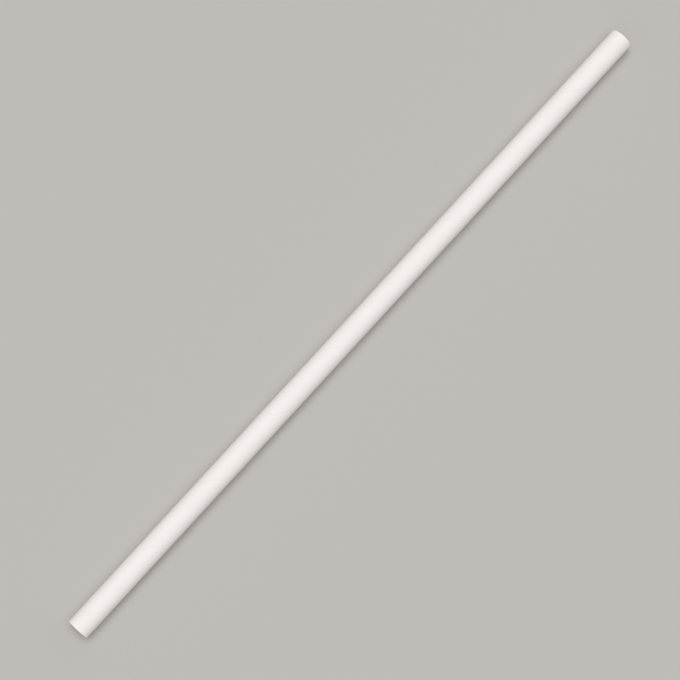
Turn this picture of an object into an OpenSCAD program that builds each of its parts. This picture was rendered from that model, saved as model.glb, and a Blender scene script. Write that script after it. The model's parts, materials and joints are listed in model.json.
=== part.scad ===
// Paper drinking straw: a straight tube of spiral-wound paper, cut square and
// open at both ends. It lies on its side along X, with +Z up, on a small flat
// along its underside. The origin is on the surface that it lies on, under the
// middle of its length. Millimetres.

/* [Straw] */
// Length from one cut end to the other
straw_length = 200; // [60:1:300]
// Outside diameter of the tube
outer_d = 6; // [4:0.1:12]
// Thickness of the glued paper wall
wall = 0.4; // [0.2:0.05:1]
// Width of the small flat that the soft tube lies on
rest_flat_w = 1.2; // [0.4:0.1:1.6]

/* [Hidden] */
// Diameter of the way through, which the drink takes
bore_d = outer_d - 2 * wall;
// Height of the tube's axis when the straw lies on its flat
axis_h = sqrt(pow(outer_d / 2, 2) - pow(rest_flat_w / 2, 2));
// Length that each cutter runs past the end of the tube
overrun = 1;
// Sides of each circle as drawn
$fn = 96;

// Solid rod of a given diameter and length, lying along X at the height of the tube's axis
module rod_along_x(d, length) {
    translate([-length / 2, 0, axis_h])
        rotate([0, 90, 0])
            cylinder(h = length, d = d);
}

// The space under the surface that the straw lies on, as long and as wide as the cut needs
module under_surface() {
    translate([-straw_length / 2 - overrun, -outer_d / 2, -outer_d])
        cube([straw_length + 2 * overrun, outer_d, outer_d]);
}

// The whole straw: one wall of paper around one round way through
module straw_tube() {
    color("#F4F0ED")
        difference() {
            rod_along_x(outer_d, straw_length);
            rod_along_x(bore_d, straw_length + 2 * overrun);
            under_surface();
        }
}

straw_tube();
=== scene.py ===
"""Looks of a white paper drinking straw that lies on a pale table, seen from above.

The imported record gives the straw's true sizes. This script winds a fine paper
tube of those sizes, dresses it in uncoated straw paper, and sets the table, the
light and the camera. Lengths are in metres, in the frame of the CAD part: +X
runs along the straw, +Z is up, and the table top is at z = 0.
"""

import json
import logging
import math
from collections.abc import Mapping
from dataclasses import dataclass
from enum import Enum
from typing import Any

import bmesh
import bpy
from mathutils import Matrix, Vector


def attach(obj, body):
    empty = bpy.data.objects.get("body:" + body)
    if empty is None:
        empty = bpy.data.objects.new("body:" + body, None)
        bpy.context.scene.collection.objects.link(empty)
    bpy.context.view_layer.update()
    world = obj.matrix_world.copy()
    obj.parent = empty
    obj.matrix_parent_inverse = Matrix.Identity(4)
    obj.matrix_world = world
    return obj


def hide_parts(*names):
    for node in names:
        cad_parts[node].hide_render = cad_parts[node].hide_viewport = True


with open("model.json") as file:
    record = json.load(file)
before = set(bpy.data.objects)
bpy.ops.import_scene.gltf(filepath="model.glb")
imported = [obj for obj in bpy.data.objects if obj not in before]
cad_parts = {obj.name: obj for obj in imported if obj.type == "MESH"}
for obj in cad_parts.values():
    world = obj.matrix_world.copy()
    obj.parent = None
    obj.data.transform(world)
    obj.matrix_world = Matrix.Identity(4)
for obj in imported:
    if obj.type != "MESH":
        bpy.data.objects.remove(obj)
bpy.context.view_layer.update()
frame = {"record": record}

MM = 0.001
FULL_TURN = 2 * math.pi
# The part's own names for its node and its body
CAD_NODE = "straw_tube"
BODY = "root"
# The sRGB curve is a straight line up to the toe, and a power above it
SRGB_TOE, SRGB_TOE_SLOPE, SRGB_OFFSET, SRGB_POWER = 0.04045, 12.92, 0.055, 2.4
# Blender's colour mix has its factor, two colours and result at these numbers
MIX_FACTOR, MIX_FIRST, MIX_SECOND, MIX_RESULT = 0, 6, 7, 2
# The node that does one sum, whose operation says which
MATHS = "ShaderNodeMath"
# A noise pattern wanders about its middle, and mostly stays within this reach of it
NOISE_MIDDLE, NOISE_REACH = 0.5, 0.2

log = logging.getLogger("straw")

# Short names for Blender's types
Node = bpy.types.Node
Socket = bpy.types.NodeSocket
Tree = bpy.types.NodeTree
# What can feed an input of a node: a socket, or a node by its first output
Feed = Node | Socket
# A mesh while it is being made, and one of its points
Shape = bmesh.types.BMesh
Point = bmesh.types.BMVert


def linear(hex_colour: str) -> tuple[float, float, float, float]:
    """Turns an sRGB hex colour into the linear colour that Blender's sockets take.

    Args:
        hex_colour: The colour as "#RRGGBB".

    Returns:
        Linear red, green and blue, with an alpha of 1.
    """
    shares = [byte / 255 for byte in bytes.fromhex(hex_colour.removeprefix("#"))]
    red, green, blue = (
        share / SRGB_TOE_SLOPE
        if share <= SRGB_TOE
        else ((share + SRGB_OFFSET) / (1 + SRGB_OFFSET)) ** SRGB_POWER
        for share in shares
    )
    return red, green, blue, 1.0


def add_node(
    tree: Tree,
    kind: str,
    inputs: Mapping[str | int, Any] | None = None,
    **settings: Any,
) -> Node:
    """Adds one node with its settings and links.

    Args:
        tree: The node tree that gets the node.
        kind: Blender's name for the type of node.
        inputs: For each input, by name or number, its value or what feeds it.
        **settings: Properties of the node itself, such as operation.

    Returns:
        The new node.
    """
    node = tree.nodes.new(kind)
    for name, value in settings.items():
        setattr(node, name, value)
    for key, value in (inputs or {}).items():
        feed = value.outputs[0] if isinstance(value, Node) else value
        if isinstance(feed, Socket):
            tree.links.new(feed, node.inputs[key])
        else:
            node.inputs[key].default_value = value
    return node


def empty_tree(owner: bpy.types.Material | bpy.types.World) -> Tree:
    """Gives a material or world an empty node tree.

    Args:
        owner: The material or world.

    Returns:
        Its node tree, with no nodes.
    """
    owner.use_nodes = True
    owner.node_tree.nodes.clear()
    return owner.node_tree


def add_object(name: str, data: bpy.types.ID) -> bpy.types.Object:
    """Puts a mesh, lamp or camera into the scene as an object of the same name.

    Args:
        name: The object's name.
        data: What the object shows.

    Returns:
        The new object.
    """
    made = bpy.data.objects.new(name, data)
    bpy.context.scene.collection.objects.link(made)
    return made


class Wall(Enum):
    """The tube's two round walls.

    The number is the way from the wall into the paper: -1 is towards the
    axis and 1 is away from it.
    """

    OUTSIDE = -1
    BORE = 1


class End(Enum):
    """The straw's two ends. The number is the way out of the straw along X."""

    NEAR = -1
    FAR = 1


@dataclass(frozen=True)
class StrawSizes:
    """The straw's true sizes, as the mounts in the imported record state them."""

    length: float
    outer_radius: float
    bore_radius: float
    axis_height: float

    @classmethod
    def from_record(cls, record: Mapping[str, Any]) -> "StrawSizes":
        """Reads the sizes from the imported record.

        Args:
            record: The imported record.

        Returns:
            The sizes in metres.
        """
        mounts = {mount["name"]: mount for mount in record["mounts"]}
        outside, bore = mounts["outside"], mounts["bore"]
        return cls(
            length=outside["dims"]["length_mm"] * MM,
            outer_radius=outside["dims"]["r_mm"] * MM,
            bore_radius=bore["dims"]["r_mm"] * MM,
            axis_height=outside["pos_m"][2],
        )

    def radius(self, wall: Wall) -> float:
        """Gives a wall's radius."""
        return self.outer_radius if wall is Wall.OUTSIDE else self.bore_radius


@dataclass(frozen=True)
class Ply:
    """The strip of paper that is wound into one of the tube's walls.

    The strip's long edges meet along a spiral joint, which is a hairline that
    shows only close up. The joints of the two walls don't lie over each other.
    """

    name: str
    wall: Wall
    # Where the joint crosses the underside, before the near end
    first_joint: float
    pitch: float = 22 * MM
    joint_width: float = 0.1 * MM
    joint_depth: float = 0.015 * MM
    # From joint to joint the strip has a lip, then the plain bands, then a lip again
    lip: float = 0.2 * MM
    plain_bands: int = 15

    def rows(self) -> list[tuple[float, float]]:
        """Lays out the rows of points in one turn of the strip.

        Returns:
            For each row, its distance along the straw from the joint, and how far it sinks in.
        """
        half = self.joint_width / 2
        start = half + self.lip
        step = (self.pitch - 2 * start) / self.plain_bands
        plain = [(start + step * band, 0.0) for band in range(self.plain_bands + 1)]
        return [(0.0, self.joint_depth), (half, 0.0), *plain, (self.pitch - half, 0.0)]

    def turn_length(self, girth: float) -> float:
        """Gives the length of strip in one turn round a tube of that girth."""
        return math.hypot(girth, self.pitch)

    def strip_width(self, girth: float) -> float:
        """Gives the strip's width on a tube of that girth."""
        return self.pitch * girth / self.turn_length(girth)


@dataclass(frozen=True)
class Grain:
    """A soft random pattern in the paper, such as its clouds, its fibres or the tufts of a cut.

    Its three sizes are those of one spot. On a strip of paper they lie along
    the strip, across it and into it.
    """

    along: float
    across: float
    # A place on a strip has no depth, so only the pattern of a cut uses this one
    into: float = MM

    def pattern(self, tree: Tree, place: Feed) -> Feed:
        """Lays the pattern out.

        Args:
            tree: The material's node tree.
            place: The position that the pattern is laid out by.

        Returns:
            The pattern, from 0 to 1.
        """
        spots_per_metre = (1 / self.along, 1 / self.across, 1 / self.into)
        in_spots = add_node(
            tree, "ShaderNodeVectorMath", {0: place, 1: spots_per_metre}, operation="MULTIPLY"
        )
        return add_node(tree, "ShaderNodeTexNoise", {"Vector": in_spots, "Scale": 1.0})


@dataclass(frozen=True)
class PaperTones:
    """The two close tones that the paper's colour wanders between."""

    light_hex: str
    dark_hex: str

    def colour(self, tree: Tree, pattern: Feed) -> Feed:
        """Colours a random pattern.

        Args:
            tree: The material's node tree.
            pattern: The pattern, which lies mostly near its middle value.

        Returns:
            The colour.
        """
        share = add_node(
            tree,
            "ShaderNodeMapRange",
            {
                "Value": pattern,
                "From Min": NOISE_MIDDLE - NOISE_REACH,
                "From Max": NOISE_MIDDLE + NOISE_REACH,
            },
        )
        tones = add_node(
            tree,
            "ShaderNodeMix",
            {
                MIX_FACTOR: share,
                MIX_FIRST: linear(self.dark_hex),
                MIX_SECOND: linear(self.light_hex),
            },
            data_type="RGBA",
        )
        return tones.outputs[MIX_RESULT]


@dataclass(frozen=True)
class StrawPaper:
    """Uncoated straw paper: bleached kraft, calendered, slit into strips, wound and glued.

    Calendering leaves it even and matt, a clean warm white with next to no
    sheen. Close up its pulp is faintly cloudy, and its fibres lie mostly along
    the strip and give the wall a soft tooth.
    """

    tones: PaperTones = PaperTones(light_hex="#F6F1EE", dark_hex="#F2EDE9")
    # The joint's line is glue-darkened paper with painted shade of the groove
    joint_glue_and_shade_hex: str = "#EFEAE5"
    ior: float = 1.5
    specular: float = 0.35
    least_roughness: float = 0.82
    most_roughness: float = 0.92
    # Clouds in the pulp, as they show when a sheet is held to the light
    clouds: Grain = Grain(along=4 * MM, across=4 * MM)
    # One kraft fibre is 0.03 mm wide, too fine to show, so bundles stand for them
    fibres: Grain = Grain(along=1.4 * MM, across=0.22 * MM)
    fibre_height: float = 0.008 * MM
    # The clouds' share of the paper's change of tone; the fibres have the rest
    cloud_share: float = 0.6
    # Glue darkens the paper this far from the joint, and painted shade of the groove darkens it too
    joint_reach: float = 0.12 * MM

    def material(self, ply: Ply, sizes: StrawSizes) -> bpy.types.Material:
        """Makes the material for one wall of the tube.

        Args:
            ply: The strip that the wall is wound from.
            sizes: The straw's sizes.

        Returns:
            The material.
        """
        material = bpy.data.materials.new(f"straw_paper_{ply.name}")
        tree = empty_tree(material)
        girth = FULL_TURN * sizes.radius(ply.wall)
        along, across = self._place_on_strip(tree, ply, sizes.axis_height, girth)
        place = add_node(tree, "ShaderNodeCombineXYZ", {"X": along, "Y": across})
        clouds = self.clouds.pattern(tree, place)
        fibres = self.fibres.pattern(tree, place)
        tooth = add_node(tree, "ShaderNodeBump", {"Height": fibres, "Distance": self.fibre_height})
        roughness = add_node(
            tree,
            "ShaderNodeMapRange",
            {"Value": fibres, "To Min": self.least_roughness, "To Max": self.most_roughness},
        )
        joint_distance = add_node(
            tree, MATHS, {0: across, 1: ply.strip_width(girth) / 2}, operation="PINGPONG"
        )
        shader = add_node(
            tree,
            "ShaderNodeBsdfPrincipled",
            {
                "Base Color": self._colour(tree, clouds, fibres, joint_distance),
                "Roughness": roughness,
                "IOR": self.ior,
                "Specular IOR Level": self.specular,
                "Normal": tooth,
            },
        )
        add_node(tree, "ShaderNodeOutputMaterial", {"Surface": shader})
        return material

    @staticmethod
    def _place_on_strip(
        tree: Tree, ply: Ply, axis_height: float, girth: float
    ) -> tuple[Feed, Feed]:
        """Finds each point's place on the strip of paper, as if it were unwound.

        Args:
            tree: The material's node tree.
            ply: The strip.
            axis_height: Height of the tube's axis.
            girth: Distance once round the wall.

        Returns:
            The distance along the strip and the distance across it.
        """
        place = add_node(tree, "ShaderNodeTexCoord").outputs["Object"]
        x, y, z = add_node(tree, "ShaderNodeSeparateXYZ", {"Vector": place}).outputs
        # How far round the tube, as a share of a turn from the underside
        below_axis = add_node(tree, MATHS, {0: axis_height, 1: z}, operation="SUBTRACT")
        angle = add_node(tree, MATHS, {0: y, 1: below_axis}, operation="ARCTAN2")
        share = add_node(tree, MATHS, {0: angle, 1: FULL_TURN}, operation="DIVIDE")
        # In turns from the joint, whole ones count along the strip and the rest lies across it
        from_joint = add_node(tree, MATHS, {0: x, 1: ply.first_joint}, operation="SUBTRACT")
        in_pitches = add_node(tree, MATHS, {0: from_joint, 1: ply.pitch}, operation="DIVIDE")
        turns = add_node(tree, MATHS, {0: in_pitches, 1: share}, operation="SUBTRACT")
        whole_turns = add_node(tree, MATHS, {0: turns}, operation="FLOOR")
        part_turn = add_node(tree, MATHS, {0: turns, 1: whole_turns}, operation="SUBTRACT")
        unwound = add_node(tree, MATHS, {0: share, 1: whole_turns}, operation="ADD")
        turn_length, strip_width = ply.turn_length(girth), ply.strip_width(girth)
        along = add_node(tree, MATHS, {0: unwound, 1: turn_length}, operation="MULTIPLY")
        across = add_node(tree, MATHS, {0: part_turn, 1: strip_width}, operation="MULTIPLY")
        return along, across

    def _colour(self, tree: Tree, clouds: Feed, fibres: Feed, joint_distance: Feed) -> Feed:
        """Mixes the paper's colour from its clouds, its fibres and the line of the joint.

        Args:
            tree: The material's node tree.
            clouds: The pattern of clouds.
            fibres: The pattern of fibres.
            joint_distance: The distance across the strip to its nearer edge.

        Returns:
            The colour.
        """
        pattern = add_node(
            tree, "ShaderNodeMix", {"Factor": self.cloud_share, "A": fibres, "B": clouds}
        )
        pulp = self.tones.colour(tree, pattern)
        # Near the joint, glue and painted shade of the groove darken the paper
        joint = add_node(
            tree,
            "ShaderNodeMapRange",
            {"Value": joint_distance, "From Max": self.joint_reach, "To Min": 1.0, "To Max": 0.0},
        )
        paper = add_node(
            tree,
            "ShaderNodeMix",
            {MIX_FACTOR: joint, MIX_FIRST: pulp, MIX_SECOND: linear(self.joint_glue_and_shade_hex)},
            data_type="RGBA",
        )
        return paper.outputs[MIX_RESULT]


@dataclass(frozen=True)
class CutEdge:
    """The end of the paper wall, sheared square after winding.

    The knife leaves fibres standing out of the cut, so it's rougher than the
    face of the sheet and has no sheen. Its colour is a shade greyer: partly the
    cut fibres' own tone, and partly painted shade among the standing fibres.
    """

    # The darker tone is partly the cut fibres' own and partly painted shade among the standing
    # fibres
    tones: PaperTones = PaperTones(light_hex="#F4EEE9", dark_hex="#E6DFD8")
    roughness: float = 1.0
    specular: float = 0.2
    # A cut fibre is 0.03 mm wide, too fine to show, so tufts stand for them
    tufts: Grain = Grain(along=0.1 * MM, across=0.1 * MM, into=0.1 * MM)
    tuft_height: float = 0.02 * MM

    def material(self) -> bpy.types.Material:
        """Makes the material for the cut ends.

        Returns:
            The material.
        """
        material = bpy.data.materials.new("straw_paper_cut_edge")
        tree = empty_tree(material)
        place = add_node(tree, "ShaderNodeTexCoord").outputs["Object"]
        tufts = self.tufts.pattern(tree, place)
        fuzz = add_node(tree, "ShaderNodeBump", {"Height": tufts, "Distance": self.tuft_height})
        shader = add_node(
            tree,
            "ShaderNodeBsdfPrincipled",
            {
                "Base Color": self.tones.colour(tree, tufts),
                "Roughness": self.roughness,
                "Specular IOR Level": self.specular,
                "Normal": fuzz,
            },
        )
        add_node(tree, "ShaderNodeOutputMaterial", {"Surface": shader})
        return material


@dataclass
class WoundTube:
    """The straw itself: a paper tube wound from strips and cut square at both ends.

    Each wall is a sleeve of points whose rows follow the winding, so the joint
    is a true groove. The sleeves are cut at the ends and joined by a cut rim
    with softened edges, on which the lines between the plies show.
    """

    sizes: StrawSizes
    plies: tuple[Ply, ...]
    finish: StrawPaper
    cut_finish: CutEdge
    # Points in one turn of a wall
    columns: int = 96
    # Turns wound before the near end and past the far one, for the cut to take off
    turns_before: int = 1
    turns_past: int = 2
    # The walls are cut this far short of each end, and the rim has the rest
    rim_room: float = 0.25 * MM
    # Radius of the rim's softened edges, and in how many steps they turn
    edge_softness: float = 0.05 * MM
    edge_steps: int = 3
    # The plies that the cut shows, and the fine line between each two
    ply_count: int = 3
    ply_line_width: float = 0.02 * MM
    ply_line_depth: float = 0.015 * MM
    # Points nearer to each other than this become one
    weld: float = 0.002 * MM

    def build(self) -> bpy.types.Object:
        """Makes the tube and puts it on its CAD body.

        Returns:
            The finished piece.
        """
        shape = bmesh.new()
        for slot, ply in enumerate(self.plies):
            self._wind(shape, ply, slot)
        for end in End:
            self._cut(shape, end)
        bmesh.ops.remove_doubles(shape, verts=shape.verts[:], dist=self.weld)
        for end in End:
            self._close_rim(shape, end)
        self._settle(shape)
        bmesh.ops.recalc_face_normals(shape, faces=shape.faces[:])
        mesh = bpy.data.meshes.new("wound_paper_tube")
        shape.to_mesh(mesh)
        shape.free()
        mesh.shade_smooth()
        for ply in self.plies:
            mesh.materials.append(self.finish.material(ply, self.sizes))
        mesh.materials.append(self.cut_finish.material())
        tube = add_object("wound_paper_tube", mesh)
        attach(tube, BODY)
        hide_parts(CAD_NODE)
        return tube

    def _point(self, x: float, turn: float, radius: float) -> Vector:
        """Gives a point of the tube.

        Args:
            x: Place along the straw.
            turn: Share of a turn from the underside.
            radius: Distance from the axis.

        Returns:
            The point.
        """
        angle = FULL_TURN * turn
        height = self.sizes.axis_height - radius * math.cos(angle)
        return Vector((x, radius * math.sin(angle), height))

    def _wind(self, shape: Shape, ply: Ply, slot: int) -> None:
        """Adds one wall, somewhat longer than the straw.

        Args:
            shape: The mesh that gets the wall.
            ply: The strip that the wall is wound from.
            slot: Number of the wall's material.
        """
        radius = self.sizes.radius(ply.wall)
        turn_rows = ply.rows()
        turns = self.turns_before + math.ceil(self.sizes.length / ply.pitch) + self.turns_past
        shares = [column / self.columns for column in range(self.columns)]
        rows = []
        for turn in range(turns):
            for offset, depth in turn_rows:
                start = ply.first_joint + (turn - self.turns_before) * ply.pitch + offset
                sunk = radius + ply.wall.value * depth
                points = [self._point(start + ply.pitch * s, s, sunk) for s in shares]
                rows.append([shape.verts.new(point) for point in points])
        for number in range(len(rows) - len(turn_rows) - 1):
            # Once round, a row meets the row one turn further on
            near = rows[number] + rows[number + len(turn_rows)][:1]
            far = rows[number + 1] + rows[number + len(turn_rows) + 1][:1]
            for a, b, c, d in zip(near, near[1:], far[1:], far):
                shape.faces.new((a, b, c, d)).material_index = slot

    def _cut(self, shape: Shape, end: End) -> None:
        """Cuts both walls square, just short of one end.

        Args:
            shape: The mesh.
            end: The end to cut.
        """
        bmesh.ops.bisect_plane(
            shape,
            geom=[*shape.verts, *shape.edges, *shape.faces],
            plane_co=(end.value * (self.sizes.length / 2 - self.rim_room), 0, 0),
            plane_no=(end.value, 0, 0),
            clear_outer=True,
        )

    def _close_rim(self, shape: Shape, end: End) -> None:
        """Carries both walls to the end and joins them across the thickness of the paper.

        Args:
            shape: The mesh.
            end: The end to close.
        """
        face_x = end.value * self.sizes.length / 2
        rings = self._cut_rings(shape, end)
        for slot, ply in enumerate(self.plies):
            for depth, radius in self._edge_profile(ply.wall):
                x = face_x - end.value * depth
                rings[ply.wall] = self._grow(shape, rings[ply.wall], x, radius, slot)
        # The material of the cut comes after those of the plies
        cut_slot = len(self.plies)
        for depth, radius in self._ply_lines():
            x = face_x - end.value * depth
            rings[Wall.OUTSIDE] = self._grow(shape, rings[Wall.OUTSIDE], x, radius, cut_slot)
        self._join(shape, rings, cut_slot)

    def _cut_rings(self, shape: Shape, end: End) -> dict[Wall, list[Point]]:
        """Finds the points at which the cut has left the walls open.

        Args:
            shape: The mesh.
            end: The end that was cut.

        Returns:
            For each wall, its points in order round the axis.
        """
        middle = (self.sizes.outer_radius + self.sizes.bore_radius) / 2
        cut = [point for point in shape.verts if point.is_boundary and point.co.x * end.value > 0]
        rings: dict[Wall, list[Point]] = {Wall.OUTSIDE: [], Wall.BORE: []}
        for point in sorted(cut, key=self._bearing):
            outside = self._axis_distance(point) > middle
            rings[Wall.OUTSIDE if outside else Wall.BORE].append(point)
        return rings

    def _grow(
        self, shape: Shape, ring: list[Point], x: float, radius: float, slot: int
    ) -> list[Point]:
        """Adds a band of faces from a ring of points to a circle.

        Args:
            shape: The mesh.
            ring: The points to grow from, in order round the axis.
            x: Place of the circle along the straw.
            radius: Radius of the circle.
            slot: Number of the band's material.

        Returns:
            The points of the circle, in the same order.
        """
        circle = []
        for point in ring:
            scale = radius / self._axis_distance(point)
            height = (point.co.z - self.sizes.axis_height) * scale
            place = (x, point.co.y * scale, self.sizes.axis_height + height)
            circle.append(shape.verts.new(place))
        for corners in zip(ring, ring[1:] + ring[:1], circle[1:] + circle[:1], circle):
            shape.faces.new(corners).material_index = slot
        return circle

    def _join(self, shape: Shape, rings: Mapping[Wall, list[Point]], slot: int) -> None:
        """Joins the two rings of an end face with triangles, in one walk round the axis.

        Args:
            shape: The mesh.
            rings: For each wall, its ring of points in order round the axis.
            slot: Number of the triangles' material.
        """
        walk = [(point, wall) for wall, ring in rings.items() for point in ring]
        reached = {wall: ring[-1] for wall, ring in rings.items()}
        for point, wall in sorted(walk, key=lambda step: self._bearing(step[0])):
            shape.faces.new((*reached.values(), point)).material_index = slot
            reached[wall] = point

    def _bearing(self, point: Point) -> float:
        """Gives a point's angle round the tube's axis."""
        return math.atan2(point.co.y, point.co.z - self.sizes.axis_height)

    def _axis_distance(self, point: Point) -> float:
        """Gives a point's distance from the tube's axis."""
        return math.hypot(point.co.y, point.co.z - self.sizes.axis_height)

    def _edge_profile(self, wall: Wall) -> list[tuple[float, float]]:
        """Lays out the softened edge of a wall, from the wall to the end face.

        Args:
            wall: The wall.

        Returns:
            For each ring of points, its depth below the end face and its radius.
        """
        radius, soft = self.sizes.radius(wall), self.edge_softness
        # A ring on the wall close by keeps the shading of the soft edge off the rest of the wall
        rings = [(2 * soft, radius)]
        for step in range(self.edge_steps + 1):
            angle = math.pi / 2 * step / self.edge_steps
            inward = wall.value * soft * (1 - math.cos(angle))
            rings.append((soft * (1 - math.sin(angle)), radius + inward))
        return rings

    def _ply_lines(self) -> list[tuple[float, float]]:
        """Lays out the fine lines between the plies on the end face, from the outside in.

        Returns:
            For each ring of points, its depth below the end face and its radius.
        """
        thickness = self.sizes.outer_radius - self.sizes.bore_radius
        half = self.ply_line_width / 2
        rings = []
        for ply in range(self.ply_count - 1, 0, -1):
            radius = self.sizes.bore_radius + thickness * ply / self.ply_count
            rings += [(0.0, radius + half), (self.ply_line_depth, radius), (0.0, radius - half)]
        return rings

    @staticmethod
    def _settle(shape: Shape) -> None:
        """Presses the underside flat where the straw rests on the table.

        Args:
            shape: The mesh.
        """
        for point in shape.verts:
            point.co.z = max(point.co.z, 0.0)


@dataclass(frozen=True)
class MattPaint:
    """Matt emulsion, rolled on board: an even warm grey with no shine, which takes a soft shadow."""

    hex_colour: str = "#BFBCB8"
    roughness: float = 1.0
    specular: float = 0.0

    def material(self) -> bpy.types.Material:
        """Makes the paint's material.

        Returns:
            The material.
        """
        material = bpy.data.materials.new("matt_grey_paint")
        tree = empty_tree(material)
        shader = add_node(
            tree,
            "ShaderNodeBsdfPrincipled",
            {
                "Base Color": linear(self.hex_colour),
                "Roughness": self.roughness,
                "Specular IOR Level": self.specular,
            },
        )
        add_node(tree, "ShaderNodeOutputMaterial", {"Surface": shader})
        return material


@dataclass
class TableTop:
    """The plain pale surface that the straw lies on. It isn't part of the object."""

    paint: MattPaint
    radius: float = 6.0
    sides: int = 64

    def build(self) -> bpy.types.Object:
        """Makes the table top.

        Returns:
            The table top.
        """
        shape = bmesh.new()
        bmesh.ops.create_circle(shape, cap_ends=True, segments=self.sides, radius=self.radius)
        mesh = bpy.data.meshes.new("table_top")
        shape.to_mesh(mesh)
        shape.free()
        mesh.materials.append(self.paint.material())
        table = add_object("table_top", mesh)
        return table


@dataclass(frozen=True)
class SoftLamp:
    """A large soft lamp, far enough off to light the whole table alike."""

    name: str
    strength: float
    # How wide the lamp looks from the table, and how far it stands from overhead
    spread_deg: float
    tilt_deg: float
    # Which way the light comes from, seen from above: 0 is +X and 90 is +Y
    bearing_deg: float

    def light_on_table(self) -> float:
        """Gives the lamp's share of the level at which a table's colour shows as written."""
        return self.strength * math.cos(math.radians(self.tilt_deg)) / math.pi

    def build(self) -> bpy.types.Object:
        """Makes the lamp.

        Returns:
            The lamp, aimed at the straw.
        """
        lamp = bpy.data.lights.new(self.name, "SUN")
        lamp.energy = self.strength
        lamp.angle = math.radians(self.spread_deg)
        made = add_object(self.name, lamp)
        tilt, bearing = math.radians(self.tilt_deg), math.radians(self.bearing_deg)
        side = Vector((math.cos(bearing), math.sin(bearing), 0.0)) * math.sin(tilt)
        towards_lamp = side + Vector((0.0, 0.0, math.cos(tilt)))
        made.rotation_mode = "QUATERNION"
        made.rotation_quaternion = towards_lamp.to_track_quat("Z", "Y")
        return made


@dataclass
class Studio:
    """Plain soft studio light: a pale room, and lamps of which the stronger is overhead.

    The room gives what the lamps leave of the level at which the table's
    colour shows as written.
    """

    backdrop_hex: str
    lamps: tuple[SoftLamp, ...]

    def build(self) -> None:
        """Makes the room's light, its backdrop and the lamps."""
        world = bpy.data.worlds.new("pale_room")
        bpy.context.scene.world = world
        tree = empty_tree(world)
        path = add_node(tree, "ShaderNodeLightPath")
        # The camera, mirrors and glass see the backdrop, and all else gets the room's light
        seen = path.outputs["Is Camera Ray"]
        for ray in ("Is Glossy Ray", "Is Transmission Ray"):
            seen = add_node(tree, MATHS, {0: seen, 1: path.outputs[ray]}, operation="MAXIMUM")
        room_strength = 1 - sum(lamp.light_on_table() for lamp in self.lamps)
        light = add_node(
            tree, "ShaderNodeBackground", {"Color": linear("#FFFFFF"), "Strength": room_strength}
        )
        backdrop = add_node(
            tree, "ShaderNodeBackground", {"Color": linear(self.backdrop_hex), "Strength": 1.0}
        )
        shown = add_node(tree, "ShaderNodeMixShader", {0: seen, 1: light, 2: backdrop})
        add_node(tree, "ShaderNodeOutputWorld", {"Surface": shown})
        log.info("room: strength %.2f", room_strength)
        for lamp in self.lamps:
            lamp.build()
            log.info("lamp %s: strength %.2f", lamp.name, lamp.strength)


@dataclass(frozen=True)
class PhotoCamera:
    """The photograph's view: almost straight down, from above the near half of the straw.

    The straw's far end is the one at the picture's upper right, towards +X.
    The place, aim, slope and lens were fitted to the straw's outline.
    """

    # Where the lens stands: above this point of the straw's axis
    foot_x: float = -64 * MM
    height: float = 530 * MM
    # The point, level with the axis, at the middle of the picture
    aim_x: float = -4.8 * MM
    aim_y: float = 0.74 * MM
    # Slope of the straw in the picture
    slope_deg: float = 47.39
    lens_mm: float = 114.26

    def build(self, axis_height: float) -> bpy.types.Object:
        """Makes the camera and makes it the scene's own.

        Args:
            axis_height: Height of the straw's axis.

        Returns:
            The camera.
        """
        place = Vector((self.foot_x, 0.0, axis_height + self.height))
        aim = Vector((self.aim_x, self.aim_y, axis_height))
        back = (place - aim).normalized()
        straw = Vector((1.0, 0.0, 0.0))
        along = (straw - back * straw.dot(back)).normalized()
        aside = back.cross(along)
        slope = math.radians(self.slope_deg)
        right = along * math.cos(slope) - aside * math.sin(slope)
        up = along * math.sin(slope) + aside * math.cos(slope)
        turned = Matrix((right, up, back)).transposed().to_4x4()
        lens = bpy.data.cameras.new("photo_camera")
        lens.lens = self.lens_mm
        made = add_object("photo_camera", lens)
        made.matrix_world = Matrix.Translation(place) @ turned
        bpy.context.scene.camera = made
        return made


def main() -> None:
    """Builds the camera, the straw, the table and the light."""
    logging.basicConfig(level=logging.INFO, format="%(name)s: %(message)s")
    bpy.context.scene.view_settings.view_transform = "Standard"
    sizes = StrawSizes.from_record(frame["record"])
    camera = PhotoCamera().build(sizes.axis_height)
    log.info("camera %s: lens %.1f mm", camera.name, camera.data.lens)
    near_end = -sizes.length / 2
    plies = (
        Ply("outer_ply", Wall.OUTSIDE, first_joint=near_end - 6 * MM),
        Ply("inner_ply", Wall.BORE, first_joint=near_end - 15 * MM),
    )
    tube = WoundTube(sizes, plies, StrawPaper(), CutEdge()).build()
    log.info("piece %s: %d faces", tube.name, len(tube.data.polygons))
    paint = MattPaint()
    table_top = TableTop(paint)
    table = table_top.build()
    log.info("stage %s: radius %.1f m", table.name, table_top.radius)
    lamps = (
        SoftLamp("overhead_softbox", strength=1.24, spread_deg=60, tilt_deg=0, bearing_deg=0),
        SoftLamp("side_softbox", strength=0.82, spread_deg=30, tilt_deg=20, bearing_deg=70),
    )
    Studio(paint.hex_colour, lamps).build()


if __name__ == "__main__":
    main()
